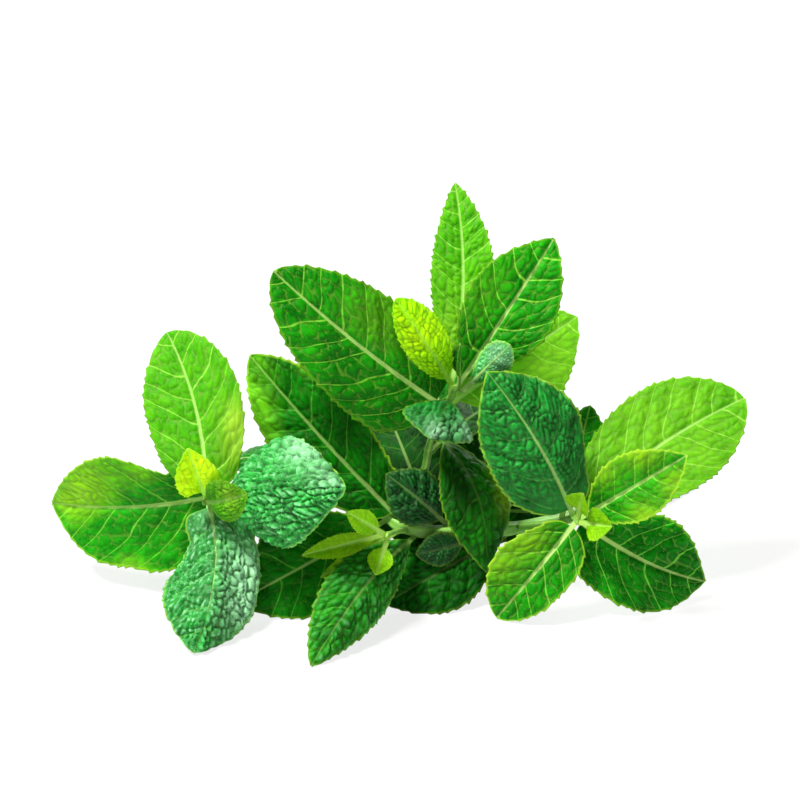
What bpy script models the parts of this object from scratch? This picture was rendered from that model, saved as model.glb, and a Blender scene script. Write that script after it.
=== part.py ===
"""A cut sprig of mint lying on a flat surface: leafy shoots that branch from one square stem.

Written in metres through MM, with +Z up. The sprig rests on z = 0 on its lower leaf tips and
its cut end, and the middle of its outline is over the origin. The front of the sprig, which its
shoots face, is towards -Y.
"""
import bpy
import bmesh
from collections import namedtuple
from math import cos, log, pi, radians, sin
from mathutils import Matrix, Vector

MM = 0.001

# Stems, in millimetres. A stem is square in section and thins towards its growing tip.
STEM_STEPS = 4               # straight pieces between two points of a stem
FLAT_SIDE = 0.9              # how far its flat sides lie from its middle, as a part of the radius
Stem = namedtuple("Stem", "name base_radius tip_radius points")
STEMS = (
    # From the cut end at the back right, past the right and top shoots, to the left shoot's tip.
    Stem("main_stem", 2.0, 0.9,
         ((85, 43.5, 2.1), (61, 19.5, 7), (31, -10.5, 16), (3, -14.5, 18), (-6.5, -4.5, 23.5),
          (-17.5, 3.5, 25.5), (-33, 1.5, 24.5), (-45, -8, 25), (-48, -21, 29))),
    Stem("right_stem", 1.3, 0.7,
         ((32.7, -12, 17.2), (40, -13, 18.5), (45, -17.5, 22.5), (45.5, -25, 25.5))),
    Stem("top_stem", 1.2, 0.8,
         ((3.8, -13.7, 19.8), (7.5, -6.5, 31.5), (9, -4.5, 38.5), (13.5, -4.5, 49.5),
          (15.5, -6, 54.5))),
    Stem("front_stem", 0.9, 0.6,
         ((1.9, -16.5, 18.7), (0, -22.5, 21.5), (-2.5, -27, 23))),
)

# Leaves. Each grows from a stem, at a place counted in that stem's points, and runs to its tip,
# in millimetres. Roll turns it about that line, in degrees, from lying face up. Arch and sweep
# are how far its middle bows up and to the side, as parts of its length. Fold lifts each half
# from the midrib and curl bends it on to the margin, in degrees. Widest is where along its
# length the blade is broadest, and heel and point are the powers that shape its two ends: the
# smaller, the blunter. Lop widens the right half and narrows the left, seen with the tip up and
# the upper face in front; skew does so in the half towards the heel only. Twist turns the blade
# about its midrib, in degrees, from one end to the other. Petiole is the length of the flat
# stalk between the stem and the blade.
LEAF_THICKNESS = 0.5
PETIOLE_LENGTH = 2.0
PETIOLE_WIDTH = 1.4
STEM_GAP = 0.4               # left between a petiole and its stem
TIP_WIDTH = 0.8
TIP_START = 0.99             # part of the blade's length where the tip's flat end starts
FOLD_START = 0.17            # and where its fold has grown from the flat petiole to the full angle
LEAST_CURL = 0.0001          # radians; stands for no curl
LENGTH_STEPS = 10
WIDTH_STEPS = 4
BUD_LENGTH_STEPS = 6
BUD_WIDTH_STEPS = 2
BUD_WIDTH = 10               # a blade narrower than this takes the coarser grid
Leaf = namedtuple("Leaf", "name stem place tip width roll tone arch sweep fold curl widest"
                  " heel point lop skew twist petiole",
                  defaults=(0.0, 0.0, 0.0, 0.0, 0.5, 0.8, 0.8, 0.0, 0.0, 0.0, PETIOLE_LENGTH))
LEAVES = (
    # Left shoot: two crossed pairs of grown leaves, then a pair of young ones.
    Leaf("left_leaf_outer", "main_stem", 7.45, (-90, -2.5, 19),
         31, -83, "green", arch=0.04, sweep=-0.03, fold=15, heel=0.2, skew=-0.45, petiole=0.8),
    Leaf("left_leaf_domed", "main_stem", 7.4, (-12, -38.5, 42.5),
         34, 63, "blue", arch=0.14, fold=-4, curl=-55, heel=0.98, point=0.75),
    Leaf("left_leaf_upper", "main_stem", 7.8, (-58.5, 4.5, 64.5),
         26, -37, "light", arch=0.02, sweep=0.07, fold=6, heel=0.25, point=0.6, skew=-0.05),
    Leaf("left_leaf_lower", "main_stem", 7.7, (-49.5, -47, 1.1),
         27, -10, "blue", arch=0.12, sweep=-0.08, fold=-30, widest=0.6, heel=0.18, point=0.65, skew=-0.35,
         twist=20, petiole=0.9),
    Leaf("left_bud_leaf_a", "main_stem", 7.9, (-51, -25, 46),
         12, -141, "yellow", arch=0.1, fold=25, heel=0.4),
    Leaf("left_bud_leaf_b", "main_stem", 8, (-36, -33.5, 38),
         11, 95, "light", arch=0.1, heel=0.4),
    # Middle leaf joint: a crossed pair, a lower leaf and the little front shoot.
    Leaf("middle_leaf_upper", "main_stem", 3.2, (-37.5, 5.5, 57.5),
         24, -66, "dark", arch=0.05, fold=6, heel=0.38, point=0.68),
    Leaf("middle_leaf_front", "main_stem", 2.9, (-20.5, -51.5, 0.5),
         18, -45, "green", arch=0.12, sweep=0.06, fold=-12, curl=-15, widest=0.52, point=0.7),
    Leaf("middle_leaf_lower", "main_stem", 3.35, (-40.6, -28, 4),
         26, -58, "dark", arch=0.05, lop=-0.02),
    Leaf("front_bud_leaf_a", "front_stem", 2, (-12, -32.5, 32.5), 6, -82, "yellow", fold=10),
    Leaf("front_bud_leaf_b", "front_stem", 1.9, (-5, -34.5, 16), 6.5, -16, "yellow", fold=10),
    Leaf("front_bud_leaf_c", "front_stem", 1.7, (-23, -34.5, 21.5), 6, -58, "yellow", fold=20),
    Leaf("front_bud_leaf_d", "main_stem", 3.12, (-19, -25.5, 10), 5, -55, "yellow", fold=20),
    # Inside and underneath, at the same joint and the next.
    Leaf("inner_leaf_left", "main_stem", 2.75, (-2.5, 24, 33), 24, -11, "dark", arch=0.06),
    Leaf("inner_leaf_right", "main_stem", 2.2, (21, 18, 33), 26, 24, "dark", arch=0.06),
    Leaf("inner_leaf_small", "main_stem", 2.6, (-2.5, -15, 34),
         15, -60, "blue", arch=0.1, fold=-10),
    Leaf("under_leaf_short", "main_stem", 2.4, (5, -20.5, 13.8), 9, -75, "blue", arch=0.04),
    Leaf("under_leaf_long", "main_stem", 2.1, (-3, -25, 2), 22, -45, "dark", arch=0.04, lop=0.05),
    # Top shoot, with one grown leaf hanging from its stem.
    Leaf("hanging_leaf", "top_stem", 2.2, (23, -24.5, 11),
         23, -2, "green", arch=0.22, fold=-20, lop=-0.15),
    Leaf("top_leaf_left", "top_stem", 2.8, (-30, -6.5, 85.5),
         28, -74, "green", arch=0.04, sweep=-0.02, fold=6, widest=0.44, heel=0.25, point=0.6,
         skew=-0.3),
    Leaf("top_leaf_young", "top_stem", 3.9, (0, -7.5, 78.5),
         12, -73, "yellow", arch=0.04, fold=15, widest=0.55, heel=0.5, point=0.6),
    Leaf("top_leaf_upright", "top_stem", 3.3, (15, 19.5, 99.5),
         16, -4, "light", sweep=0.05, fold=8, widest=0.52),
    Leaf("top_leaf_right", "top_stem", 3.7, (39.5, 5.5, 89.5),
         23, 62, "green", arch=0.05, fold=8, widest=0.52),
    Leaf("top_leaf_behind", "top_stem", 2.9, (48, 23.5, 61), 26, 54, "light", lop=0.12),
    Leaf("top_leaf_curled", "top_stem", 3.8, (28, -14, 69),
         9.5, 94, "blue", fold=-30, widest=0.6),
    Leaf("top_bud_leaf", "top_stem", 4, (16, -7.5, 66.5), 5.5, 87, "dark", fold=30),
    Leaf("top_leaf_nodding", "top_stem", 3.1, (8.5, -28.5, 50.5),
         20, -20, "blue", arch=0.1, fold=-20),
    # Right shoot: three crossed pairs.
    Leaf("right_leaf_outer", "right_stem", 1.8, (90.5, 5.5, 45.5),
         29, 42, "light", arch=0.03, sweep=-0.04, fold=4, widest=0.56, heel=0.4, point=0.6),
    Leaf("right_leaf_behind", "right_stem", 1.4, (50.5, 5.5, 43.5), 16, 11, "green"),
    Leaf("right_leaf_upper", "right_stem", 2.2, (22.5, -14.5, 62),
         27, -66, "blue", arch=0.08, sweep=0.03, fold=-12, heel=0.32, skew=-0.3),
    Leaf("right_leaf_lower", "right_stem", 2.2, (79.5, -18.5, 4.6),
         25, 69, "dark", arch=0.1, sweep=0.05, fold=5, heel=0.18, point=0.9, skew=0.2, petiole=0.9),
    Leaf("right_leaf_middle", "right_stem", 2.6, (70.5, -30.5, 47),
         17, 79, "green", arch=0.03, fold=10),
    Leaf("right_leaf_front", "right_stem", 2.6, (25.5, -29.5, 0.5),
         19, -55, "green", arch=0.1, fold=8, heel=0.35, point=0.65, lop=0.12, skew=-0.3, petiole=1.1),
    Leaf("right_bud_leaf_a", "right_stem", 2.9, (46, -27.5, 35), 8, 131, "yellow", fold=25),
    Leaf("right_bud_leaf_b", "right_stem", 3, (53, -32.5, 28.5), 9, 67, "yellow", fold=25),
    # Back of the sprig.
    Leaf("rear_leaf_left", "main_stem", 5.4, (-61, 39.5, 0.5), 26, 0, "dark", arch=0.12),
    Leaf("rear_leaf_middle", "main_stem", 4.4, (-10, 51.5, 0.5), 27, 0, "dark", arch=0.12),
    Leaf("rear_leaf_right", "main_stem", 1.4, (-11, 9, 8), 22, -38, "dark", arch=0.06),
    Leaf("rear_leaf_high_left", "top_stem", 2.5, (6, 40, 52), 26, 0, "dark", arch=0.12, heel=0.4),
    Leaf("rear_leaf_high_right", "top_stem", 1.6, (45, 37.5, 30), 24, 0, "dark", arch=0.12),
)

# Colours, as linear red, green and blue, and the roughness of a leaf's skin and a stem's.
TONES = {
    "light": (0.22, 0.55, 0.06),
    "green": (0.08, 0.36, 0.02),
    "dark": (0.02, 0.17, 0.01),
    "blue": (0.08, 0.35, 0.12),
    "yellow": (0.40, 0.65, 0.03),
    "stem": (0.20, 0.38, 0.08),
}
LEAF_ROUGHNESS = 0.45
STEM_ROUGHNESS = 0.5


def clear_scene():
    for obj in list(bpy.data.objects):
        bpy.data.objects.remove(obj, do_unlink=True)


def make_material(name, tone, roughness):
    material = bpy.data.materials.new(name)
    material.use_nodes = True
    shader = material.node_tree.nodes["Principled BSDF"]
    shader.inputs["Base Color"].default_value = (*TONES[tone], 1.0)
    shader.inputs["Roughness"].default_value = roughness
    shader.inputs["Metallic"].default_value = 0.0
    return material


def stem_point(stem, place):
    """Position, direction and radius, in millimetres, at a place counted in the stem's points.

    The stem is a smooth curve through its points, carried straight on past both ends.
    """
    last = len(stem.points) - 1
    start = min(int(place), last - 1)
    part = place - start
    points = [Vector(point) for point in stem.points]
    points = [2 * points[0] - points[1], *points, 2 * points[-1] - points[-2]]
    before, here, there, after = points[start:start + 4]
    bend = 2 * before - 5 * here + 4 * there - after
    twist = 3 * here - before - 3 * there + after
    position = here + ((there - before) * part + bend * part ** 2 + twist * part ** 3) / 2
    direction = (there - before + 2 * bend * part + 3 * twist * part ** 2).normalized()
    radius = stem.base_radius + (stem.tip_radius - stem.base_radius) * place / last
    return position, direction, radius


def make_stem(stem, collection):
    """A square stem through its points, as one curve with a bevel and closed ends."""
    curve = bpy.data.curves.new(stem.name, "CURVE")
    curve.dimensions = "3D"
    curve.bevel_depth = MM
    curve.bevel_resolution = 0
    curve.use_fill_caps = True
    spline = curve.splines.new("POLY")
    count = (len(stem.points) - 1) * STEM_STEPS + 1
    spline.points.add(count - 1)
    for index, point in enumerate(spline.points):
        position, _, radius = stem_point(stem, index / STEM_STEPS)
        point.co = (*position * MM, 1.0)
        point.radius = radius
    obj = bpy.data.objects.new(stem.name, curve)
    obj.data.materials.append(make_material(stem.name, "stem", STEM_ROUGHNESS))
    collection.objects.link(obj)
    return obj


def leaf_base(leaf):
    """Where the petiole starts: on the side of its stem that its tip lies to, or past its end."""
    stem = next(stem for stem in STEMS if stem.name == leaf.stem)
    position, direction, radius = stem_point(stem, leaf.place)
    outward = Vector(leaf.tip) - position
    slant = abs(outward.normalized().dot(direction))
    if leaf.place < len(stem.points) - 1:
        outward -= direction * outward.dot(direction)
        reach = radius * FLAT_SIDE + slant * PETIOLE_WIDTH / 2
    else:
        reach = (1 - slant) * PETIOLE_WIDTH / 2
    return position + outward.normalized() * (reach + STEM_GAP)


def half_width(leaf, along, length):
    """Half of the leaf's width at a part of its length: petiole, rounded heel, pointed tip."""
    petiole = leaf.petiole / length
    blade = max(0.0, (along - petiole) / (1 - petiole))
    swell = sin(pi * min(1.0, blade ** (log(0.5) / log(leaf.widest))))
    power = leaf.heel + (leaf.point - leaf.heel) * blade
    narrowest = TIP_WIDTH if blade > TIP_START else PETIOLE_WIDTH
    return max(leaf.width * max(0.0, swell) ** power, narrowest) / 2, blade


def leaf_frame(leaf):
    """The leaf's own axes, from its petiole's start: +Y to the tip, +Z out of the upper face.

    Also returns the length from there to the tip, in millimetres.
    """
    base = leaf_base(leaf)
    chord = Vector(leaf.tip) - base
    forward = chord.normalized()
    level = forward.cross(Vector((0, 0, 1))).normalized()
    upright = level.cross(forward)
    side = level * cos(radians(leaf.roll)) - upright * sin(radians(leaf.roll))
    frame = Matrix((side, forward, side.cross(forward))).transposed().to_4x4()
    frame.translation = base * MM
    return frame, chord.length


def leaf_point(leaf, length, along, across):
    """A point of the leaf's middle surface, in its own axes.

    Along is 0 at the petiole's start and 1 at the tip; across is -1 to 1, from margin to margin.
    """
    lean = Vector((leaf.sweep, 0, leaf.arch))
    bow = 4 * along * (1 - along)
    slope = 4 * (1 - 2 * along)
    centre = (Vector((0, along, 0)) + lean * bow) * length
    heading = (Vector((0, 1, 0)) + lean * slope).normalized()
    turn = radians(leaf.twist) * (along - 0.5)
    side = Vector((cos(turn), 0, sin(turn)))
    side = (side - heading * side.dot(heading)).normalized()
    face = side.cross(heading)

    reach, blade = half_width(leaf, along, length)
    lean_right = leaf.lop + leaf.skew * max(0.0, 1 - 2 * blade)
    reach *= 1 + (lean_right if across > 0 else -lean_right) * min(1.0, blade / FOLD_START)
    fold = radians(leaf.fold) * min(1.0, blade / FOLD_START)
    curl = radians(leaf.curl) or LEAST_CURL
    bend = fold + curl * abs(across)
    out = (sin(bend) - sin(fold)) / curl
    lift = (cos(fold) - cos(bend)) / curl
    return centre + (side * (out if across > 0 else -out) + face * lift) * reach


def make_leaf(leaf, collection):
    """One leaf with its petiole: a grid bent into the leaf's middle surface, then thickened."""
    frame, length = leaf_frame(leaf)
    bud = leaf.width < BUD_WIDTH
    mesh = bpy.data.meshes.new(leaf.name)
    grid = bmesh.new()
    bmesh.ops.create_grid(grid,
                          x_segments=BUD_WIDTH_STEPS if bud else WIDTH_STEPS,
                          y_segments=BUD_LENGTH_STEPS if bud else LENGTH_STEPS,
                          size=1.0)
    for vertex in grid.verts:
        along = (vertex.co.y + 1) / 2
        vertex.co = leaf_point(leaf, length, along, vertex.co.x) * MM
    grid.to_mesh(mesh)
    grid.free()
    obj = bpy.data.objects.new(leaf.name, mesh)
    obj.matrix_world = frame
    obj.data.materials.append(make_material(leaf.name, leaf.tone, LEAF_ROUGHNESS))
    collection.objects.link(obj)
    skin = obj.modifiers.new("thickness", "SOLIDIFY")
    skin.thickness = LEAF_THICKNESS * MM
    skin.offset = 0.0
    return obj


def main():
    clear_scene()
    collection = bpy.data.collections.new("mint_sprig")
    bpy.context.scene.collection.children.link(collection)
    for stem in STEMS:
        make_stem(stem, collection)
    for leaf in LEAVES:
        make_leaf(leaf, collection)


main()
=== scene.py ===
"""Sprig of mint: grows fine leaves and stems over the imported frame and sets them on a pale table.

Every leaf is a thin closed sheet, bent the way its frame node is, with a toothed margin, sunken
veins and puffed cells between them. Lengths in the tables are in millimetres; what reaches
Blender is in metres.
"""

from collections import namedtuple

import bpy
import numpy as np
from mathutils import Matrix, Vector


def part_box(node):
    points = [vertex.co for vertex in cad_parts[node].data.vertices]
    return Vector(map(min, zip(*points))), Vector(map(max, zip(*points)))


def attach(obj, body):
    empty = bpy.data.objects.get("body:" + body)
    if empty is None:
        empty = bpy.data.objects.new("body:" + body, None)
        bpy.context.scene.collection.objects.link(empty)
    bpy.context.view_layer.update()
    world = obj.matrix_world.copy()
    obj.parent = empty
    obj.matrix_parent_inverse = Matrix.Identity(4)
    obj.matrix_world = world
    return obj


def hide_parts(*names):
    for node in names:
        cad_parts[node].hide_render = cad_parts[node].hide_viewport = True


bl_info = {
    "name": "Mint Sprig",
    "version": (1, 0, 0),
    "blender": (4, 5, 0),
    "location": "View3D > Sidebar > Sprig",
    "description": "Grows a sprig of mint, leaf by leaf, and lights it on a pale table",
    "category": "Add Mesh",
}

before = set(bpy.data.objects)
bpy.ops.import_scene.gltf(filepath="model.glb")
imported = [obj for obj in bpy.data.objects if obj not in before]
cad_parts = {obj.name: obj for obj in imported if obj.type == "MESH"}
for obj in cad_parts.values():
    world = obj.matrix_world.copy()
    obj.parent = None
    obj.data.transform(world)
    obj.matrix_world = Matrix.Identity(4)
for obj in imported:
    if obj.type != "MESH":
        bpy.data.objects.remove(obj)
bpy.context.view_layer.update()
MM = 0.001
# A piece may reach this far past the box of the frame node that it replaces.
MOST_DRIFT = 3 * MM

# ---------------------------------------------------------------- stems
FLAT_SIDE = 0.9
STEM_ROWS_PER_POINT = 28
STEM_AROUND = 32
Stem = namedtuple("Stem", "name base_radius tip_radius points")
STEMS = (
    Stem("main_stem", 2.0, 0.9,
         ((85, 43.5, 2.1), (61, 19.5, 7), (31, -10.5, 16), (3, -14.5, 18), (-6.5, -4.5, 23.5),
          (-17.5, 3.5, 25.5), (-33, 1.5, 24.5), (-45, -8, 25), (-48, -21, 29))),
    Stem("right_stem", 1.3, 0.7,
         ((32.7, -12, 17.2), (40, -13, 18.5), (45, -17.5, 22.5), (45.5, -25, 25.5))),
    Stem("top_stem", 1.2, 0.8,
         ((3.8, -13.7, 19.8), (7.5, -6.5, 31.5), (9, -4.5, 38.5), (13.5, -4.5, 49.5),
          (15.5, -6, 54.5))),
    Stem("front_stem", 0.9, 0.6,
         ((1.9, -16.5, 18.7), (0, -22.5, 21.5), (-2.5, -27, 23))),
)

# ---------------------------------------------------------------- leaves
# The columns up to petiole bend the leaf as its frame node is bent: its stem and the place on it,
# its tip, its width, the roll about its length, how it arches, sweeps, folds and curls, where it
# is broadest and how blunt its ends are, how lopsided it is, how it twists, and how long its
# petiole is. Its tone, among them, names its colours. Then come how puffed its cells are, how
# pale its veins are, how bright it is (partly its own green, partly painted light on lit and
# backlit leaves and painted shade on shaded ones), how frosted it is (a bloom of hairs with a
# painted sheen), how yellow its margin is (its own yellow with a painted glow of back light),
# and its lighter (or, below 0, darker) patches, partly its own paler places, partly painted
# light, and painted shade below 0: each a place along and across the blade, a radius in
# millimetres and a strength.
PETIOLE_LENGTH = 2.0
PETIOLE_WIDTH = 1.4
STEM_GAP = 0.4
# A petiole ends in its stem, this part of the way from its start to the middle of the stem.
ROOT_DEPTH = 0.7
TIP_WIDTH = 0.8
FOLD_START = 0.17
LEAST_CURL = 0.0001
# Parts of a blade, at its foot and its tip, whose cells lie flat. From a strong puff on, the
# flat foot is longer, which keeps the blade clear of its neighbours, and the cells are smaller.
FLAT_FOOT = 0.1
FLAT_TIP = 0.06
STRONG_PUFF = 1.2
LONG_FLAT_FOOT = 0.3
SMALL_CELLS = 0.68
Leaf = namedtuple(
    "Leaf", "name stem place tip width roll tone arch sweep fold curl widest heel point"
    " lop skew twist petiole puff veins glow frost rim patches",
    defaults=(0.0, 0.0, 0.0, 0.0, 0.5, 0.8, 0.8, 0.0, 0.0, 0.0, PETIOLE_LENGTH,
              0.6, 0.5, 1.0, 0.0, 0.3, ()))
LEFT_SHOOT = (
    Leaf("left_leaf_outer", "main_stem", 7.45, (-90, -2.5, 19),
         31, -83, "green", arch=0.04, sweep=-0.03, fold=15, heel=0.2, skew=-0.45, petiole=0.8,
         puff=0.65, veins=0.5, glow=1.15, rim=0.5,
         patches=((0.75, 0.5, 11, 0.6), (0.95, 0.0, 8, 0.4), (0.3, 0.8, 6, 0.4),
                  (0.5, -1.0, 6, 0.4), (0.35, -0.25, 7, -0.5), (0.6, -0.5, 6, -0.4),
                  (0.15, 0.4, 8, -0.4))),
    Leaf("left_leaf_domed", "main_stem", 7.4, (-12, -38.5, 42.5),
         34, 63, "blue", arch=0.14, fold=-4, curl=-55, heel=0.98, point=0.75,
         puff=1.7, veins=0.0, frost=0.8, glow=1.75,
         patches=((0.7, -0.8, 6, 0.45), (0.92, -0.3, 5, 0.35))),
    Leaf("left_leaf_upper", "main_stem", 7.8, (-58.5, 4.5, 64.5),
         26, -37, "light", arch=0.02, sweep=0.07, fold=6, heel=0.25, point=0.6, skew=-0.05,
         puff=0.8, veins=0.9, glow=0.95, patches=((0.35, 0.85, 5, 0.7), (0.2, 0.8, 5, 0.6))),
    Leaf("left_leaf_lower", "main_stem", 7.7, (-49.5, -47, 1.1),
         27, -10, "blue", arch=0.12, sweep=-0.08, fold=-30, widest=0.6, heel=0.18, point=0.65,
         skew=-0.35, twist=20, petiole=0.9, puff=1.5, veins=0.5, frost=1.0, glow=1.6,
         patches=((0.4, -0.7, 6, 0.6), (0.65, -0.7, 6, 0.5))),
    Leaf("left_bud_leaf_a", "main_stem", 7.9, (-51, -25, 46),
         12, -141, "yellow", arch=0.1, fold=25, heel=0.4,
         puff=0.9, glow=1.3, patches=((0.4, 0, 9, 1.6),)),
    Leaf("left_bud_leaf_b", "main_stem", 8, (-36, -33.5, 38),
         11, 95, "light", arch=0.1, heel=0.4,
         puff=1.4, veins=0.3, glow=0.8, patches=((0.7, -0.3, 4, 0.5),)),
)
MIDDLE = (
    Leaf("middle_leaf_upper", "main_stem", 3.2, (-37.5, 5.5, 57.5),
         24, -66, "dark", arch=0.05, fold=6, heel=0.38, point=0.68,
         puff=0.9, veins=0.35, glow=1.1, rim=0.6,
         patches=((0.82, -0.95, 7, 1.6), (1.0, 0.2, 6, 1.0), (0.6, -1.1, 5, 1.0),
                  (0.75, 1.1, 3, 0.9), (0.5, 0.2, 9, -0.4))),
    Leaf("middle_leaf_front", "main_stem", 2.9, (-20.5, -51.5, 0.5),
         18, -45, "green", arch=0.12, sweep=0.06, fold=-12, curl=-15, widest=0.52, point=0.7,
         puff=1.1, veins=0.3, glow=0.95, frost=0.5),
    Leaf("middle_leaf_lower", "main_stem", 3.35, (-40.6, -28, 4),
         26, -58, "dark", arch=0.05, lop=-0.02, puff=0.5, veins=0.45),
    Leaf("front_bud_leaf_a", "front_stem", 2, (-12, -32.5, 32.5), 6, -82, "yellow", fold=10,
         glow=1.05),
    Leaf("front_bud_leaf_b", "front_stem", 1.9, (-5, -34.5, 16), 6.5, -16, "yellow", fold=10,
         glow=1.05),
    Leaf("front_bud_leaf_c", "front_stem", 1.7, (-23, -34.5, 21.5), 6, -58, "yellow", fold=20,
         glow=0.8),
    Leaf("front_bud_leaf_d", "main_stem", 3.12, (-19, -25.5, 10), 5, -55, "yellow", fold=20,
         glow=0.7),
)
# The leaves inside and underneath are dimmed by a low glow: painted shade.
INSIDE = (
    Leaf("inner_leaf_left", "main_stem", 2.75, (-2.5, 24, 33), 24, -11, "dark", arch=0.06,
         glow=0.45),
    Leaf("inner_leaf_right", "main_stem", 2.2, (21, 18, 33), 26, 24, "dark", arch=0.06,
         glow=0.45),
    Leaf("inner_leaf_small", "main_stem", 2.6, (-2.5, -15, 34),
         15, -60, "blue", arch=0.1, fold=-10, puff=1.5, veins=0.3, glow=0.45),
    Leaf("under_leaf_short", "main_stem", 2.4, (5, -20.5, 13.8), 9, -75, "blue", arch=0.04,
         puff=1.3, veins=0.2, glow=0.35),
    Leaf("under_leaf_long", "main_stem", 2.1, (-3, -25, 2), 22, -45, "dark", arch=0.04, lop=0.05,
         puff=1.1, veins=0.2, glow=0.65),
)
TOP_SHOOT = (
    Leaf("hanging_leaf", "top_stem", 2.2, (23, -24.5, 11),
         23, -2, "green", arch=0.22, fold=-20, lop=-0.15, puff=1.0, veins=0.2, glow=0.65,
         rim=0.5, patches=((0.55, -0.95, 5, 1.5), (0.35, -1.0, 4, 1.2), (0.5, 0.5, 7, -0.7),
                           (0.3, 0.3, 6, -0.5))),
    Leaf("top_leaf_left", "top_stem", 2.8, (-30, -6.5, 85.5),
         28, -74, "green", arch=0.04, sweep=-0.02, fold=6, widest=0.44, heel=0.25, point=0.6,
         skew=-0.3, puff=0.75, veins=0.8,
         patches=((0.95, 0.0, 8, -0.3), (0.45, 0.55, 10, 0.3), (0.4, -0.6, 11, -0.4))),
    Leaf("top_leaf_young", "top_stem", 3.9, (0, -7.5, 78.5),
         12, -73, "yellow", arch=0.04, fold=15, widest=0.55, heel=0.5, point=0.6,
         puff=1.1, veins=0.3, glow=1.35, patches=((0.6, 0, 8, 0.5),)),
    Leaf("top_leaf_upright", "top_stem", 3.3, (15, 19.5, 99.5),
         16, -4, "light", sweep=0.05, fold=8, widest=0.52,
         puff=0.85, veins=0.75, patches=((0.25, 0, 9, 0.5),)),
    Leaf("top_leaf_right", "top_stem", 3.7, (39.5, 5.5, 89.5),
         23, 62, "green", arch=0.05, fold=8, widest=0.52, puff=0.75, veins=0.8, glow=1.15,
         patches=((0.5, -0.5, 9, 0.15), (0.5, 0.5, 9, -0.3))),
    Leaf("top_leaf_behind", "top_stem", 2.9, (48, 23.5, 61), 26, 54, "light", lop=0.12,
         puff=0.5, veins=0.7, glow=1.2, patches=((0.5, 0, 30, 0.4),)),
    Leaf("top_leaf_curled", "top_stem", 3.8, (28, -14, 69),
         9.5, 94, "blue", fold=-30, widest=0.6,
         puff=1.3, glow=1.6, frost=1.0, patches=((0.7, 0, 5, 0.3),)),
    Leaf("top_bud_leaf", "top_stem", 4, (16, -7.5, 66.5), 5.5, 87, "dark", fold=30),
    Leaf("top_leaf_nodding", "top_stem", 3.1, (8.5, -28.5, 50.5),
         20, -20, "blue", arch=0.1, fold=-20, puff=1.3, veins=0.1, frost=0.15, glow=0.9,
         patches=((0.95, 0.0, 5, 0.7), (0.5, -0.9, 5, 0.5))),
)
RIGHT_SHOOT = (
    Leaf("right_leaf_outer", "right_stem", 1.8, (90.5, 5.5, 45.5),
         29, 42, "light", arch=0.03, sweep=-0.04, fold=4, widest=0.56, heel=0.4, point=0.6,
         puff=0.7, veins=0.8, glow=1.0, patches=((0.5, 0, 30, 0.25),)),
    Leaf("right_leaf_behind", "right_stem", 1.4, (50.5, 5.5, 43.5), 16, 11, "green"),
    Leaf("right_leaf_upper", "right_stem", 2.2, (22.5, -14.5, 62),
         27, -66, "blue", arch=0.08, sweep=0.03, fold=-12, heel=0.32, skew=-0.3,
         puff=1.25, veins=0.45, glow=1.2, rim=0.5, patches=((0.4, 0.6, 7, -0.3),)),
    Leaf("right_leaf_lower", "right_stem", 2.2, (79.5, -18.5, 4.6),
         25, 69, "dark", arch=0.1, sweep=0.05, fold=5, heel=0.18, point=0.9, skew=0.2, petiole=0.9,
         puff=0.8, veins=0.7, glow=1.45),
    Leaf("right_leaf_middle", "right_stem", 2.6, (70.5, -30.5, 47),
         17, 79, "green", arch=0.03, fold=10, puff=0.8, veins=0.6, glow=1.1, rim=0.8,
         patches=((0.45, 1.0, 4, 0.8), (0.8, 0.7, 4, 0.6), (0.7, -1.0, 5, 0.8),
                  (0.35, -1.0, 4, 0.6))),
    Leaf("right_leaf_front", "right_stem", 2.6, (25.5, -29.5, 0.5),
         19, -55, "green", arch=0.1, fold=8, heel=0.35, point=0.65, lop=0.12, skew=-0.3,
         petiole=1.1, puff=0.9, veins=0.7, glow=1.0, rim=0.8,
         patches=((0.3, 0.8, 5, 0.6), (0.6, 0.9, 5, 0.5))),
    Leaf("right_bud_leaf_a", "right_stem", 2.9, (46, -27.5, 35), 8, 131, "yellow", fold=25,
         glow=0.75),
    Leaf("right_bud_leaf_b", "right_stem", 3, (53, -32.5, 28.5), 9, 67, "yellow", fold=25,
         glow=0.8),
)
BACK = (
    Leaf("rear_leaf_left", "main_stem", 5.4, (-61, 39.5, 0.5), 26, 0, "dark", arch=0.12),
    Leaf("rear_leaf_middle", "main_stem", 4.4, (-10, 51.5, 0.5), 27, 0, "dark", arch=0.12),
    Leaf("rear_leaf_right", "main_stem", 1.4, (-11, 9, 8), 22, -38, "dark", arch=0.06, glow=0.5),
    Leaf("rear_leaf_high_left", "top_stem", 2.5, (6, 40, 52), 26, 0, "dark", arch=0.12, heel=0.4),
    Leaf("rear_leaf_high_right", "top_stem", 1.6, (45, 37.5, 30), 24, 0, "dark", arch=0.12),
)
ALL_LEAVES = LEFT_SHOOT + MIDDLE + INSIDE + TOP_SHOOT + RIGHT_SHOOT + BACK
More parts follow.
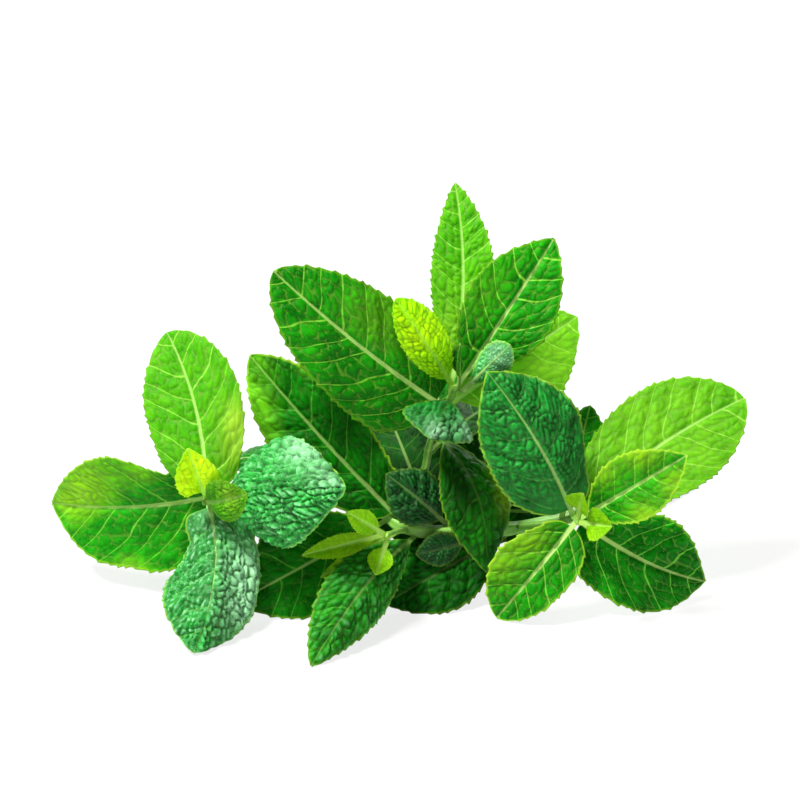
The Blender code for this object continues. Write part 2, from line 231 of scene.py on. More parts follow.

# Linear colours of a leaf's skin: between the veins, where it is palest, on its veins, below and
# on its lighter patches; how much of the light falling on it goes through; and its gloss. The light
# and dark tones are partly the leaves' own paler and deeper greens and partly painted light on
# backlit leaves and painted shade on shaded ones; the blue-green tone's bluish cast and whitish
# patch colour are partly a painted sheen.
Tone = namedtuple("Tone", "blade pale vein under patch through gloss")
TONES = {
    "light": Tone((0.06, 0.44, 0.002), (0.20, 0.72, 0.010), (0.50, 0.90, 0.12),
                  (0.30, 0.62, 0.12), (0.55, 0.85, 0.05), 0.35, 0.12),
    "green": Tone((0.002, 0.20, 0.001), (0.025, 0.50, 0.004), (0.34, 0.80, 0.07),
                  (0.20, 0.50, 0.10), (0.34, 0.66, 0.01), 0.20, 0.10),
    "dark": Tone((0.0, 0.085, 0.0), (0.006, 0.29, 0.002), (0.20, 0.62, 0.06),
                 (0.16, 0.42, 0.08), (0.15, 0.52, 0.01), 0.12, 0.08),
    "blue": Tone((0.0, 0.14, 0.006), (0.018, 0.40, 0.040), (0.16, 0.54, 0.10),
                 (0.20, 0.45, 0.14), (0.40, 0.74, 0.44), 0.10, 0.25),
    "yellow": Tone((0.26, 0.72, 0.001), (0.52, 0.96, 0.004), (0.70, 0.98, 0.06),
                   (0.50, 0.78, 0.10), (0.80, 0.97, 0.01), 0.35, 0.1),
}
# A yellower margin: partly the leaf's own, partly a painted glow of back light through its thin
# edge.
YELLOW_RIM_AND_PAINTED_EDGE_GLOW = (0.45, 0.78, 0.04)
MIDRIB = (0.72, 1.0, 0.30)
# Frost: a pale bluish bloom of hairs, partly real and partly a painted sheen of the white room.
FROST_AND_PAINTED_SHEEN = (0.42, 0.66, 0.48)
STEM_GREEN = (0.13, 0.36, 0.03)
STEM_PALE = (0.28, 0.58, 0.09)
PITH = (0.62, 0.72, 0.38)


class SprigSettings(bpy.types.PropertyGroup):
    """How fine the leaves are, and how they are toothed, veined and puffed."""
    grain: bpy.props.FloatProperty(
        name="Grain", description="Distance between a leaf's mesh points",
        default=0.38 * MM, min=0.2 * MM, max=2 * MM, precision=5, unit="LENGTH")
    hidden_grain: bpy.props.FloatProperty(
        name="Hidden Grain", description="The same, on the leaves inside and at the back",
        default=0.6 * MM, min=0.2 * MM, max=3 * MM, precision=5, unit="LENGTH")
    thickness: bpy.props.FloatProperty(
        name="Blade Thickness", description="Thickness of a blade between its veins",
        default=0.3 * MM, min=0.1 * MM, max=1 * MM, precision=5, unit="LENGTH")
    puff_height: bpy.props.FloatProperty(
        name="Puff Height", description="How far the cells between the veins bulge",
        default=1.0 * MM, min=0, max=2 * MM, precision=5, unit="LENGTH")
    cell_size: bpy.props.FloatProperty(
        name="Cell Size", description="Width of a cell of the net of fine veins",
        default=2.5 * MM, min=0.5 * MM, max=6 * MM, precision=5, unit="LENGTH")
    tooth_spacing: bpy.props.FloatProperty(
        name="Tooth Spacing", description="Distance from tooth to tooth along the margin",
        default=2.5 * MM, min=1 * MM, max=8 * MM, precision=5, unit="LENGTH")
    tooth_depth: bpy.props.FloatProperty(
        name="Tooth Depth", description="How far a tooth stands out of the margin",
        default=0.65 * MM, min=0, max=2 * MM, precision=5, unit="LENGTH")
    vein_spacing: bpy.props.FloatProperty(
        name="Vein Spacing", description="Distance between side veins along the midrib",
        default=7.2 * MM, min=2 * MM, max=15 * MM, precision=5, unit="LENGTH")


class StageSettings(bpy.types.PropertyGroup):
    """The camera, the table and the lights."""
    lens: bpy.props.FloatProperty(
        name="Lens", description="Focal length of the camera, in millimetres", default=85.0)
    distance: bpy.props.FloatProperty(
        name="Distance", description="From the camera to what it looks at",
        default=0.491, unit="LENGTH")
    elevation: bpy.props.FloatProperty(
        name="Elevation", description="How far the camera looks down",
        default=np.radians(25), subtype="ANGLE")
    aim: bpy.props.FloatVectorProperty(
        name="Aim", description="The point that the camera looks at",
        default=(0.001, 0.0055, 0.045), subtype="TRANSLATION", precision=4)
    floor_size: bpy.props.FloatProperty(
        name="Table Size", description="Side of the table top", default=6.0, unit="LENGTH")
    table_glow: bpy.props.FloatProperty(
        name="Table Glow", description="How much of the white the camera sees is the table's own",
        default=0.78, min=0, max=1)
    key_power: bpy.props.FloatProperty(
        name="Key Power", description="Power of the soft light above",
        default=20.0, unit="POWER")
    back_power: bpy.props.FloatProperty(
        name="Back Power", description="Power of the soft light behind the sprig",
        default=10.0, unit="POWER")
    sky: bpy.props.FloatProperty(
        name="Sky", description="Brightness of the white room", default=0.25)


# ---------------------------------------------------------------- shader maths
class Value:
    """A socket of a node tree that can be used in sums."""

    def __init__(self, tree, socket):
        self.tree = tree
        self.socket = socket

    def _join(self, operation, *terms):
        node = self.tree.nodes.new("ShaderNodeMath")
        node.operation = operation
        for index, term in enumerate(terms):
            plug(self.tree, node.inputs[index], term)
        return Value(self.tree, node.outputs[0])

    def __add__(self, other):
        return self._join("ADD", self, other)

    def __radd__(self, other):
        return self._join("ADD", other, self)

    def __sub__(self, other):
        return self._join("SUBTRACT", self, other)

    def __rsub__(self, other):
        return self._join("SUBTRACT", other, self)

    def __mul__(self, other):
        return self._join("MULTIPLY", self, other)

    def __rmul__(self, other):
        return self._join("MULTIPLY", other, self)

    def __truediv__(self, other):
        return self._join("DIVIDE", self, other)

    def __pow__(self, other):
        return self._join("POWER", self, other)

    def absolute(self):
        return self._join("ABSOLUTE", self)

    def rounded(self):
        return self._join("ROUND", self)

    def highest(self, other):
        return self._join("MAXIMUM", self, other)

    def lowest(self, other):
        return self._join("MINIMUM", self, other)

    def rise(self, low, high, bottom=0.0, top=1.0):
        """Bottom below low, top above high, and a smooth step between."""
        node = self.tree.nodes.new("ShaderNodeMapRange")
        node.interpolation_type = "SMOOTHSTEP"
        for name, term in (("Value", self), ("From Min", low), ("From Max", high),
                           ("To Min", bottom), ("To Max", top)):
            plug(self.tree, node.inputs[name], term)
        return Value(self.tree, node.outputs["Result"])


def plug(tree, socket, term):
    """Links a Value to a socket, or sets the socket to a number or a colour."""
    if isinstance(term, Value):
        tree.links.new(term.socket, socket)
    elif isinstance(term, tuple) and len(term) == 3 and socket.type == "RGBA":
        socket.default_value = (*term, 1.0)
    else:
        socket.default_value = term


class Skin:
    """A material's node tree, built from its surface inwards."""

    def __init__(self, name):
        self.material = bpy.data.materials.new(name)
        self.material.use_nodes = True
        self.tree = self.material.node_tree
        self.tree.nodes.clear()

    def node(self, kind, settings=None, inputs=None):
        made = self.tree.nodes.new(kind)
        for name, setting in (settings or {}).items():
            setattr(made, name, setting)
        for name, term in (inputs or {}).items():
            plug(self.tree, made.inputs[name], term)
        return made

    def attribute(self, name):
        node = self.node("ShaderNodeAttribute", {"attribute_name": name})
        return Value(self.tree, node.outputs["Fac"])

    def noise(self, scale, detail=3.0, rough=0.55):
        place = self.node("ShaderNodeTexCoord").outputs["Object"]
        node = self.node("ShaderNodeTexNoise", None,
                         {"Vector": Value(self.tree, place), "Scale": scale,
                          "Detail": detail, "Roughness": rough})
        return Value(self.tree, node.outputs["Fac"])

    def blend(self, factor, first, second):
        """A colour that goes from the first to the second as the factor goes from 0 to 1."""
        node = self.node("ShaderNodeMix", {"data_type": "RGBA", "clamp_factor": True})
        plug(self.tree, node.inputs[0], factor)
        plug(self.tree, node.inputs[6], first)
        plug(self.tree, node.inputs[7], second)
        return Value(self.tree, node.outputs[2])

    def scaled(self, colour, factor):
        node = self.node("ShaderNodeVectorMath", {"operation": "SCALE"},
                         {0: colour, "Scale": factor})
        return Value(self.tree, node.outputs[0])

    def bump(self, height, distance, strength):
        node = self.node("ShaderNodeBump", None,
                         {"Height": height, "Distance": distance, "Strength": strength})
        return Value(self.tree, node.outputs["Normal"])

    def finish(self, shader):
        output = self.node("ShaderNodeOutputMaterial")
        self.tree.links.new(shader.outputs[0], output.inputs["Surface"])
        return self.material


LEAF_SKINS = {}


def leaf_skin(tone):
    """Skin of a leaf: pale veins, puffed cells with painted shade at their borders, patches of its
    own tint and of painted light and shade, a rim partly painted as edge glow, frost partly painted
    as sheen, painted shade at its foot, and a paler underside.
    """
    if tone in LEAF_SKINS:
        return LEAF_SKINS[tone]
    colours = TONES[tone]
    skin = Skin("leaf_" + tone)
    along = skin.attribute("along")
    margin = skin.attribute("margin")
    cell = skin.attribute("cell")
    under = skin.attribute("under")
    phase = skin.attribute("phase")
    across = skin.attribute("across").absolute()
    mottle = skin.noise(170)
    fine = skin.noise(900, detail=4)
    specks = skin.noise(2600, detail=3)
    pores = skin.noise(5200, detail=2)

    # Veins: the midrib, the side veins and the fine net between them.
    midrib_width = 0.85 - 0.6 * along
    midrib = across.rise(midrib_width * 0.4, midrib_width, 1.0, 0.0) * (1 - along * 0.5)
    line_width = 0.018 + 0.016 * (1 - across / 14)
    side = (phase - phase.rounded()).absolute().rise(line_width * 0.4, line_width * 1.5, 1.0, 0.0)
    side = side * along.rise(0.02, 0.08) * fine.rise(0.25, 0.5, 0.6, 1.0)
    net = cell.rise(0.06, 0.34, 1.0, 0.0) * margin.rise(0.1, 0.8)
    paleness = skin.attribute("veins")
    vein = side.highest(net * (0.15 + fine * 0.45)) * 0.85
    vein = vein * paleness.rise(0, 1, 0.08, 1.0)
    midrib = midrib * paleness.rise(0, 0.8)

    # Blade: mottled, with its patches of own tint and painted light and shade, paler in its cells'
    # # middles and darker at their borders and at its foot as painted shade, rimmed with a partly
    # # painted edge glow and frosted with a partly painted sheen.
    blade = skin.blend((mottle - 0.38) * 1.9 + (fine + specks - 1.0) * 0.9 + cell * 0.2,
                       colours.blade, colours.pale)
    patch = skin.attribute("patch")
    # Lighter patches: partly the leaf's own paler or yellower places, partly painted light where it
    # is lit or backlit; on blue-green leaves their colour is a painted sheen.
    blade = skin.blend(patch * (0.5 + mottle), blade, colours.patch)
    # Painted shade in the sunken net: darker at the cell borders, the more the leaf is puffed; the
    # cell term in the mottle above paints the cells' middles paler, as lit tops.
    blade = skin.scaled(blade, cell.rise(0.0, 0.5, 0.9 - 0.4 * skin.attribute("puff"), 1.0))
    # Darker patches, below 0, are painted shade.
    blade = skin.scaled(blade, 1 + patch.lowest(0.0) * 0.75)
    # Painted shade: the blade darkens towards its foot, where the leaves crowd at the joints.
    blade = skin.scaled(blade, along.rise(0.0, 0.4, 0.68, 1.0))
    # Towards the margin the blade turns yellow: partly its own margin, partly a painted edge glow
    # of back light.
    blade = skin.blend(margin.rise(0.1, 0.9, 1.0, 0.0) * skin.attribute("rim"), blade, YELLOW_RIM_AND_PAINTED_EDGE_GLOW)
    # Frost, laid mostly on the puffed cell tops: partly a bloom of hairs, partly a painted sheen
    # where highlights fall.
    frost = skin.attribute("frost") * (0.08 + cell.rise(0.4, 1.0) * 0.42) * fine.rise(0.35, 0.75)
    blade = skin.blend(frost, blade, FROST_AND_PAINTED_SHEEN)

    # The midrib is laid over both faces last.
    upper = skin.blend(vein, blade, colours.vein)
    lower = skin.blend(vein * 0.8, skin.blend(fine, colours.under, colours.pale), colours.vein)
    # Glow scales the whole leaf: partly its own lighter or deeper green, partly painted light on
    # lit and backlit leaves and painted shade on those in shadow. The midrib takes only its painted
    # shade.
    glow = skin.attribute("glow")
    colour = skin.scaled(skin.blend(under, upper, lower), glow)
    rib = skin.scaled(skin.blend(0.2, MIDRIB, colours.vein), glow.lowest(1.0) ** 0.5)
    colour = skin.blend(midrib, colour, rib)

    height = pores * 0.3 + specks * 0.5 + fine * 0.6 - vein * 0.25
    shader = skin.node("ShaderNodeBsdfPrincipled", None, {
        "Base Color": colour,
        "Roughness": 0.38 + (fine - 0.5) * 0.3 + under * 0.15,
        "Specular IOR Level": colours.gloss,
        "Normal": skin.bump(height, 0.3 * MM, 0.7),
    })
    through = skin.node("ShaderNodeBsdfTranslucent", None, {
        "Color": skin.blend(vein * 0.5, skin.blend(0.55, colour, colours.pale), colours.vein)})
    mixed = skin.node("ShaderNodeMixShader", None, {0: colours.through})
    skin.tree.links.new(shader.outputs[0], mixed.inputs[1])
    skin.tree.links.new(through.outputs[0], mixed.inputs[2])
    LEAF_SKINS[tone] = skin.finish(mixed)
    return LEAF_SKINS[tone]


def stem_skin():
    """Skin of a stem: pale ridges on green faces, streaked along its length, with a pale pith."""
    skin = Skin("stem")
    ridge = skin.attribute("ridge")
    joint = skin.attribute("joint")
    streak = skin.noise(700, detail=4)
    broad = skin.noise(90)
    colour = skin.blend(ridge * 0.75 + (streak - 0.5) * 0.9 + (broad - 0.5), STEM_GREEN,
                        STEM_PALE)
    colour = skin.blend(joint * 0.5, colour, STEM_PALE)
    colour = skin.blend(skin.attribute("cut"), colour, PITH)
    shader = skin.node("ShaderNodeBsdfPrincipled", None, {
        "Base Color": colour,
        "Roughness": 0.42 + (streak - 0.5) * 0.3,
        "IOR": 1.45,
        "Normal": skin.bump(streak, 0.2 * MM, 0.5),
    })
    return skin.finish(shader)


# ---------------------------------------------------------------- shapes
def smooth(low, high, value):
    part = np.clip((value - low) / (high - low), 0, 1)
    return part * part * (3 - 2 * part)


def unit(vectors):
    return vectors / np.linalg.norm(vectors, axis=-1, keepdims=True)


def dot(first, second):
    return np.sum(first * second, axis=-1, keepdims=True)


def stem_path(stem, places):
    """Positions, directions and radii, in millimetres, at places counted in the stem's points."""
    points = np.array(stem.points, float)
    points = np.vstack((2 * points[0] - points[1], points, 2 * points[-1] - points[-2]))
    last = len(stem.points) - 1
    places = np.atleast_1d(np.asarray(places, float))
    start = np.clip(places.astype(int), 0, last - 1)
    part = (places - start)[:, None]
    before, here, there, after = (points[start + step] for step in range(4))
    bend = 2 * before - 5 * here + 4 * there - after
    twist = 3 * here - before - 3 * there + after
    position = here + ((there - before) * part + bend * part ** 2 + twist * part ** 3) / 2
    direction = unit(there - before + 2 * bend * part + 3 * twist * part ** 2)
    radius = stem.base_radius + (stem.tip_radius - stem.base_radius) * places / last
    return position, direction, radius


def leaf_frame(leaf):
    """Middle of the stem there, the petiole's start, the leaf's side, forward and face
    directions, and its length."""
    stem = next(stem for stem in STEMS if stem.name == leaf.stem)
    position, direction, radius = (found[0] for found in stem_path(stem, leaf.place))
    outward = np.array(leaf.tip, float) - position
    slant = abs(float(dot(unit(outward), direction)[0]))
    if leaf.place < len(stem.points) - 1:
        outward = outward - direction * dot(outward, direction)
        reach = radius * FLAT_SIDE + slant * PETIOLE_WIDTH / 2
    else:
        reach = (1 - slant) * PETIOLE_WIDTH / 2
    base = position + unit(outward) * (reach + STEM_GAP)
    chord = np.array(leaf.tip, float) - base
    forward = unit(chord)
    level = unit(np.cross(forward, (0, 0, 1)))
    upright = np.cross(level, forward)
    roll = np.radians(leaf.roll)
    side = level * np.cos(roll) - upright * np.sin(roll)
    return position, base, side, forward, np.cross(side, forward), float(np.linalg.norm(chord))


def bend_leaf(leaf, along, across, tooth_spacing, tooth_depth):
    """Middle surface of a leaf on a grid, with the width there and the part of the blade passed.

    Along is 0 at the petiole's start and 1 at the tip; across is -1 to 1, margin to margin.
    """
    axis, base, side, forward, face, length = leaf_frame(leaf)
    petiole = leaf.petiole / length
    blade = np.clip((along - petiole) / (1 - petiole), 0, 1)
    swell = np.sin(np.pi * blade ** (np.log(0.5) / np.log(leaf.widest)))
    power = leaf.heel + (leaf.point - leaf.heel) * blade
    width = leaf.width * np.clip(swell, 0, 1) ** power
    width = np.maximum(width, PETIOLE_WIDTH + (TIP_WIDTH * 0.4 - PETIOLE_WIDTH) * blade) / 2

    lean = side * leaf.sweep + face * leaf.arch
    bow = (4 * along * (1 - along))[:, None]
    slope = (4 * (1 - 2 * along))[:, None]
    centre = base + (forward * along[:, None] + lean * bow) * length
    # Before its start the petiole turns into the stem, and ends near the middle of it.
    inside = np.clip(along / along[0], 0, 1)[:, None]
    centre = centre + (base + (axis - base) * ROOT_DEPTH - centre) * inside
    heading = unit(forward + lean * slope)
    turn = np.radians(leaf.twist) * (along - 0.5)[:, None]
    side = side * np.cos(turn) + face * np.sin(turn)
    side = unit(side - heading * dot(heading, side))
    face = np.cross(side, heading)

    # Teeth lean forward: each rises slowly and ends short.
    count = max(3, round(length / tooth_spacing))
    wander = 0.25 * np.sin(along * 23 + leaf.width)
    turn = along * count + wander
    saw = turn % 1.0
    uneven = 0.8 + 0.3 * np.sin(np.floor(turn) * 2.4)
    tooth = tooth_depth * min(1.0, 0.3 + leaf.width / 23) * uneven
    tooth = tooth * np.clip((saw - 0.15) / 0.75, 0, 1) ** 1.3 * (saw < 0.93)
    tooth = tooth * smooth(0.03, 0.12, blade) * (1 - smooth(0.95, 1.0, blade))
    spread = np.abs(across)[None, :]
    reach = width[:, None] + tooth[:, None] * spread ** 6
    lean_right = leaf.lop + leaf.skew * np.clip(1 - 2 * blade, 0, 1)
    part = np.minimum(1, blade / FOLD_START)
    reach = reach * (1 + np.sign(across)[None, :] * (lean_right * part)[:, None])

    fold = (np.radians(leaf.fold) * part)[:, None]
    curl = np.radians(leaf.curl) or LEAST_CURL
    turn = fold + curl * spread
    out = (np.sin(turn) - np.sin(fold)) / curl * np.sign(across)[None, :]
    lift = (np.cos(fold) - np.cos(turn)) / curl
    # A blade is never quite regular: its halves wave a little towards the margin.
    wave = (np.sin(along * 9 + leaf.width)[:, None] * 0.5 +
            np.sin(along * 17 + leaf.roll)[:, None] * 0.3 * np.sign(across)[None, :])
    wave = wave * spread ** 2 * leaf.width * 0.018 * smooth(0.05, 0.3, blade)[:, None]
    points = (centre[:, None] + side[:, None] * (out * reach)[..., None] +
              face[:, None] * (lift * reach + wave)[..., None])
    return points, reach * across[None, :], blade


def net_cells(phase, across, rows_per_vein, size, seed):
    """1 in the middle of each cell of the fine net of veins and 0 on its border."""
    dice = np.random.default_rng(seed)
    shift = dice.random((64, 64, 2)) * 0.64 + 0.18
    down = phase * rows_per_vein
    over = across / size
    nearest = np.full(down.shape, 9.0)
    second = nearest.copy()
    for step_down in (-1, 0, 1):
        for step_over in (-1, 0, 1):
            row = np.floor(down).astype(int) + step_down
            column = np.floor(over).astype(int) + step_over
            seeds = shift[row % 64, column % 64]
            gap = np.hypot(down - row - seeds[..., 0], over - column - seeds[..., 1])
            second = np.minimum(second, np.maximum(nearest, gap))
            nearest = np.minimum(nearest, gap)
    return np.clip((second - nearest) / 0.6, 0, 1)


def surface_normals(points):
    rows = np.gradient(points, axis=0)
    columns = np.gradient(points, axis=1)
    return unit(np.cross(columns, rows))


def closed_sheet(name, rings, attributes):
    """A closed mesh from rings of points, each joined to the next, with its two ends filled."""
    count, around = rings.shape[:2]
    index = np.arange(count * around).reshape(count, around)
    after = np.roll(index, -1, axis=1)
    faces = np.stack((index[:-1], after[:-1], after[1:], index[1:]), axis=-1).reshape(-1, 4)
    mesh = bpy.data.meshes.new(name)
    mesh.from_pydata((rings.reshape(-1, 3) * MM).tolist(), [],
                     faces.tolist() + [index[0, ::-1].tolist(), index[-1].tolist()])
    for key, values in attributes.items():
        made = mesh.attributes.new(key, "FLOAT", "POINT")
        made.data.foreach_set("value", np.broadcast_to(values, (count, around)).ravel())
    mesh.shade_smooth()
    made = bpy.data.objects.new(name, mesh)
    bpy.context.scene.collection.objects.link(made)
    return made


def grow_leaf(leaf, settings, hidden, seed):
    """Makes a leaf's fine sheet, petiole and all, and hands it to the frame."""
    grain = (settings.hidden_grain if hidden else settings.grain) / MM
    length = leaf_frame(leaf)[-1]
    small = min(1.0, leaf.width / 20)
    grain = grain * max(small, 0.45)
    rows = int(length / grain)
    columns = max(5, int(leaf.width / grain / 2)) * 2 + 1
    root = -(STEM_GAP + 0.6) / length
    along = np.linspace(root, 1, rows)
    across = np.linspace(-1, 1, columns)
    points, offset, blade = bend_leaf(leaf, along, across, settings.tooth_spacing / MM * small,
                                      settings.tooth_depth / MM)
    out = np.abs(offset)
    passed = blade[:, None]

    # Side veins climb towards the tip in a bow, and leave the midrib by turns, left and right.
    spacing = settings.vein_spacing / MM * max(0.35, min(1.0, leaf.width / 24))
    climb = out * 0.5 + out ** 2 * 0.034
    half = 0.37 * np.sign(across)[None, :]
    phase = (along[:, None] * length - climb) / spacing + half
    phase = phase + 0.13 * np.sin(phase * 2.3 + half * 9 + seed) + 0.05 * np.sin(
        offset * 0.55 + seed) + 0.03 * np.sin(phase * 4.1 + offset * 0.8)

    # The net of fine veins runs with the side veins.
    strong = leaf.puff >= STRONG_PUFF
    size = settings.cell_size / MM * max(0.5, small) * (SMALL_CELLS if strong else 1.0)
    warp = 0.35 * np.sin(offset * 1.1 + phase * 2.0)
    cell = net_cells(phase + warp * 0.3, offset + warp, spacing / size, size, seed)
    gap = np.abs(phase - np.round(phase)) * 2

    margin = (1 - np.abs(across))[None, :] * np.abs(offset).max(axis=1, keepdims=True)
    before_tip = smooth(0.0, FLAT_TIP, 1 - passed)
    quiet = smooth(0.0, FLAT_FOOT, passed) * before_tip
    ribbed = min(1.0, leaf.veins * 4)

    # Cells are calm at the ends, at the margin and along a ribbed midrib. The blade bulges inside
    # each cell and between side veins, and keeps its middle where the plain one lies.
    calm = smooth(0.0, LONG_FLAT_FOOT if strong else FLAT_FOOT, passed) * before_tip
    calm = calm * (1 - ribbed + ribbed * smooth(0.0, 1.5, out))
    calm = calm * (0.35 + 0.65 * smooth(0.0, 2.5, margin))
    height = settings.puff_height / MM * leaf.puff * calm * max(0.4, small)
    height = height * ((0.25 + 0.35 * min(1.2, leaf.puff)) * smooth(-0.1, 0.9, cell) +
                       0.6 * smooth(0.0, 0.9, gap))
    groove = 0.1 * ribbed * np.exp(-(out / 0.5) ** 2) * smooth(0.0, 0.15, passed) * (1 - passed)

    height = height - quiet * np.median(height)

    normals = surface_normals(points)
    upper = points + normals * (height - groove * small)[..., None]

    # At its foot the sheet closes into a rounded petiole. Below, the veins stand out as ribs.
    stalk = 1 - smooth(0.0, 0.09, passed)
    rounding = np.sqrt(np.clip(1 - across ** 2, 0, 1))[None, :]
    blade_part = settings.thickness / MM * (0.6 + 0.4 * smooth(0.0, 1.0, margin))
    rib = 0.75 * np.exp(-(out / 0.45) ** 2) * (1 - 0.8 * passed) * small
    side_rib = 0.16 * np.exp(-(gap / 0.10) ** 2) * quiet * smooth(0.0, 1.5, margin)
    depth = blade_part + rib + side_rib
    depth = depth * (1 - stalk) + stalk * (0.15 + 1.15 * rounding * max(0.6, small))
    lower = upper - normals * depth[..., None]

    rings = np.concatenate((upper, lower[:, -2:0:-1]), axis=1)

    def around(values):
        values = np.broadcast_to(values, offset.shape)
        return np.concatenate((values, values[:, -2:0:-1]), axis=1)

    # Patches of the leaf's own tint and of painted light and painted shade, summed over the blade.
    patch = np.zeros(offset.shape)
    for place, over, radius, strength in leaf.patches:
        away = np.hypot((passed - place) * length, (across[None, :] - over) * leaf.width / 2)
        patch += strength * np.exp(-(away / radius) ** 2)

    below = np.concatenate((np.zeros(columns), np.ones(columns - 2)))[None, :]
    piece = closed_sheet(leaf.name + "_blade", rings, {
        "along": around(passed), "across": around(offset), "phase": around(phase),
        "margin": around(margin), "cell": around(cell), "under": below,
        "patch": around(patch), "veins": np.float64(leaf.veins),
        "puff": np.float64(leaf.puff), "glow": np.float64(leaf.glow),
        "frost": np.float64(leaf.frost), "rim": np.float64(leaf.rim)})
    piece.data.materials.append(leaf_skin(leaf.tone))
    hand_over(piece, leaf.name)
    return piece


def hand_over(piece, node):
    """Puts a piece in place of its frame node, after checking that it lies where the node does."""
    corners = np.array([piece.matrix_world @ Vector(corner) for corner in piece.bound_box])
    low, high = (np.array(corner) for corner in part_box(node))
    drift = max(np.abs(corners.min(axis=0) - low).max(), np.abs(corners.max(axis=0) - high).max())
    if drift > MOST_DRIFT:
        raise RuntimeError(f"{piece.name} is {drift / MM:.1f} mm off its node {node}")
    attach(piece, "root")
    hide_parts(node)


def grow_stem(stem, skin):
    """Makes a square stem with rounded ridges, hollowed faces and swollen leaf joints."""
    last = len(stem.points) - 1
    start = 0.0 if stem.name == "main_stem" else -0.12
    places = np.linspace(start, last, last * STEM_ROWS_PER_POINT)
    centre, direction, radius = stem_path(stem, places)
    side = np.cross(direction[0], (0, 0, 1))
    sides = []
    for heading in direction:
        side = unit(side - heading * float(dot(side, heading)[0]))
        sides.append(side)
    side = np.array(sides)
    top = np.cross(side, direction)

    joints = sorted({round(leaf.place, 1) for leaf in ALL_LEAVES if leaf.stem == stem.name})
    joint = sum(np.exp(-((places - place) / 0.07) ** 2) for place in joints)
    joint = np.clip(joint, 0, 1) if joints else np.zeros(len(places))
    taper = 1 - 0.25 * smooth(last - 0.1, last, places)
    angle = np.linspace(0, 2 * np.pi, STEM_AROUND, endpoint=False)
    ridge = 0.5 + 0.5 * np.cos(4 * angle - np.pi)
    shape = 0.80 + 0.20 * ridge
    uneven = 1 + 0.025 * np.sin(places * 7 + last) + 0.02 * np.sin(places * 19)
    reach = (radius * (1 + 0.16 * joint) * taper * uneven)[:, None] * shape[None, :]
    rings = centre[:, None] + (side[:, None] * (np.cos(angle)[None, :] * reach)[..., None] +
                               top[:, None] * (np.sin(angle)[None, :] * reach)[..., None])
    cut = (places < start + 0.012)[:, None] * (stem.name == "main_stem") * 1.0
    piece = closed_sheet(stem.name + "_shoot", rings, {
        "ridge": ridge[None, :], "joint": joint[:, None], "cut": cut})
    piece.data.materials.append(skin)
    hand_over(piece, stem.name)
    return piece


# ---------------------------------------------------------------- operators
class SPRIG_OT_stems(bpy.types.Operator):
    """Grow the main stem and its three side shoots"""
    bl_idname = "sprig.stems"
    bl_label = "Grow Stems"

    def execute(self, context):
        skin = stem_skin()
        for stem in STEMS:
            grow_stem(stem, skin)
        return {"FINISHED"}


class LeafGroup:
    """Grows one group of leaves; each operator below names its own."""
    leaves = ()
    hidden = False

    def execute(self, context):
        for leaf in self.leaves:
            grow_leaf(leaf, context.scene.sprig, self.hidden, ALL_LEAVES.index(leaf) + 1)
        return {"FINISHED"}


class SPRIG_OT_left_shoot(LeafGroup, bpy.types.Operator):
    """Grow the left shoot's two crossed pairs and its young pair"""
    bl_idname = "sprig.left_shoot"
    bl_label = "Grow Left Shoot"
    leaves = LEFT_SHOOT


class SPRIG_OT_middle(LeafGroup, bpy.types.Operator):
    """Grow the middle joint's leaves and the little front shoot"""
    bl_idname = "sprig.middle"
    bl_label = "Grow Middle Leaves"
    leaves = MIDDLE


class SPRIG_OT_inside(LeafGroup, bpy.types.Operator):
    """Grow the leaves inside and underneath"""
    bl_idname = "sprig.inside"
    bl_label = "Grow Inside Leaves"
    leaves = INSIDE


class SPRIG_OT_top_shoot(LeafGroup, bpy.types.Operator):
    """Grow the top shoot and the leaf that hangs from its stem"""
    bl_idname = "sprig.top_shoot"
    bl_label = "Grow Top Shoot"
    leaves = TOP_SHOOT


class SPRIG_OT_right_shoot(LeafGroup, bpy.types.Operator):
    """Grow the right shoot's three crossed pairs"""
    bl_idname = "sprig.right_shoot"
    bl_label = "Grow Right Shoot"
    leaves = RIGHT_SHOOT


class SPRIG_OT_back(LeafGroup, bpy.types.Operator):
    """Grow the leaves at the back of the sprig"""
    bl_idname = "sprig.back"
    bl_label = "Grow Back Leaves"
    leaves = BACK
    hidden = True


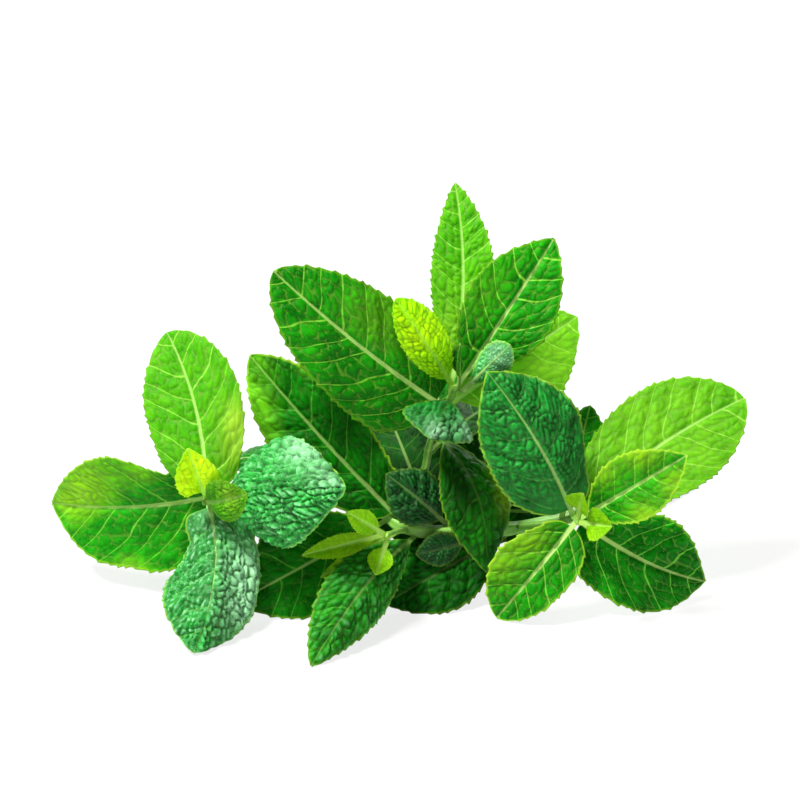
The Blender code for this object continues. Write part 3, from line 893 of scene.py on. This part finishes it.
class SPRIG_OT_stage(bpy.types.Operator):
    """Set the table, the soft lights and the camera"""
    bl_idname = "sprig.stage"
    bl_label = "Set the Stage"

    def execute(self, context):
        stage = context.scene.sprig_stage
        self.add_table(stage)
        self.add_room(context.scene, stage)
        self.add_light("key_light", (-0.45, -0.15, 1.0), stage.key_power, 0.25, (1, 0.99, 0.97))
        self.add_light("back_light", (0.35, 0.9, 0.65), stage.back_power, 0.6, (1, 1, 0.96))
        self.add_camera(context.scene, stage)
        return {"FINISHED"}

    def add_table(self, stage):
        bpy.ops.mesh.primitive_plane_add(size=stage.floor_size)
        table = bpy.context.object
        table.name = "table"
        skin = Skin("table_white")
        grain = skin.noise(40, detail=5)
        tint = skin.blend(grain, (0.90, 0.90, 0.90), (0.93, 0.93, 0.93))
        shader = skin.node("ShaderNodeBsdfPrincipled", None,
                           {"Base Color": tint, "Roughness": 0.6})
        glow = skin.node("ShaderNodeEmission", None, {"Color": (1.0, 1.0, 1.0)})
        seen = Value(skin.tree, skin.node("ShaderNodeLightPath").outputs["Is Camera Ray"])
        mixed = skin.node("ShaderNodeMixShader", None, {0: seen * stage.table_glow})
        skin.tree.links.new(shader.outputs[0], mixed.inputs[1])
        skin.tree.links.new(glow.outputs[0], mixed.inputs[2])
        table.data.materials.append(skin.finish(mixed))

    def add_room(self, scene, stage):
        """A white room, which the camera sees as plain white."""
        world = bpy.data.worlds.new("white_room")
        world.use_nodes = True
        scene.world = world
        tree = world.node_tree
        tree.nodes.clear()
        seen = tree.nodes.new("ShaderNodeLightPath")
        strength = Value(tree, seen.outputs["Is Camera Ray"]).rise(0, 1, stage.sky, 1.0)
        room = tree.nodes.new("ShaderNodeBackground")
        plug(tree, room.inputs["Color"], (1.0, 1.0, 1.0))
        plug(tree, room.inputs["Strength"], strength)
        output = tree.nodes.new("ShaderNodeOutputWorld")
        tree.links.new(room.outputs[0], output.inputs["Surface"])
        scene.view_settings.view_transform = "Standard"

    def add_light(self, name, place, power, size, colour):
        light = bpy.data.lights.new(name, "AREA")
        light.energy = power
        light.size = size
        light.color = colour
        lamp = bpy.data.objects.new(name, light)
        lamp.location = place
        lamp.rotation_euler = (-Vector(place)).to_track_quat("-Z", "Y").to_euler()
        bpy.context.scene.collection.objects.link(lamp)

    def add_camera(self, scene, stage):
        camera = bpy.data.objects.new("camera", bpy.data.cameras.new("camera"))
        camera.data.lens = stage.lens
        camera.data.clip_start = 0.01
        back = Vector((0, -np.cos(stage.elevation), np.sin(stage.elevation)))
        camera.location = Vector(stage.aim) + back * stage.distance
        camera.rotation_euler = (-back).to_track_quat("-Z", "Y").to_euler()
        scene.collection.objects.link(camera)
        scene.camera = camera


class SPRIG_PT_panel(bpy.types.Panel):
    """Lists the steps that make the sprig, in order"""
    bl_idname = "SPRIG_PT_panel"
    bl_label = "Mint Sprig"
    bl_space_type = "VIEW_3D"
    bl_region_type = "UI"
    bl_category = "Sprig"

    def draw(self, context):
        for operator in OPERATORS:
            self.layout.operator(operator.bl_idname)
        for name in SprigSettings.__annotations__:
            self.layout.prop(context.scene.sprig, name)
        for name in StageSettings.__annotations__:
            self.layout.prop(context.scene.sprig_stage, name)


OPERATORS = (SPRIG_OT_stems, SPRIG_OT_left_shoot, SPRIG_OT_middle, SPRIG_OT_inside,
             SPRIG_OT_top_shoot, SPRIG_OT_right_shoot, SPRIG_OT_back, SPRIG_OT_stage)
CLASSES = (SprigSettings, StageSettings, *OPERATORS, SPRIG_PT_panel)


def register():
    for kind in CLASSES:
        bpy.utils.register_class(kind)
    bpy.types.Scene.sprig = bpy.props.PointerProperty(type=SprigSettings)
    bpy.types.Scene.sprig_stage = bpy.props.PointerProperty(type=StageSettings)


def unregister():
    del bpy.types.Scene.sprig_stage
    del bpy.types.Scene.sprig
    for kind in reversed(CLASSES):
        bpy.utils.unregister_class(kind)


def main():
    register()
    bpy.ops.sprig.stems()
    bpy.ops.sprig.left_shoot()
    bpy.ops.sprig.middle()
    bpy.ops.sprig.inside()
    bpy.ops.sprig.top_shoot()
    bpy.ops.sprig.right_shoot()
    bpy.ops.sprig.back()
    bpy.ops.sprig.stage()


if __name__ == "__main__":
    main()
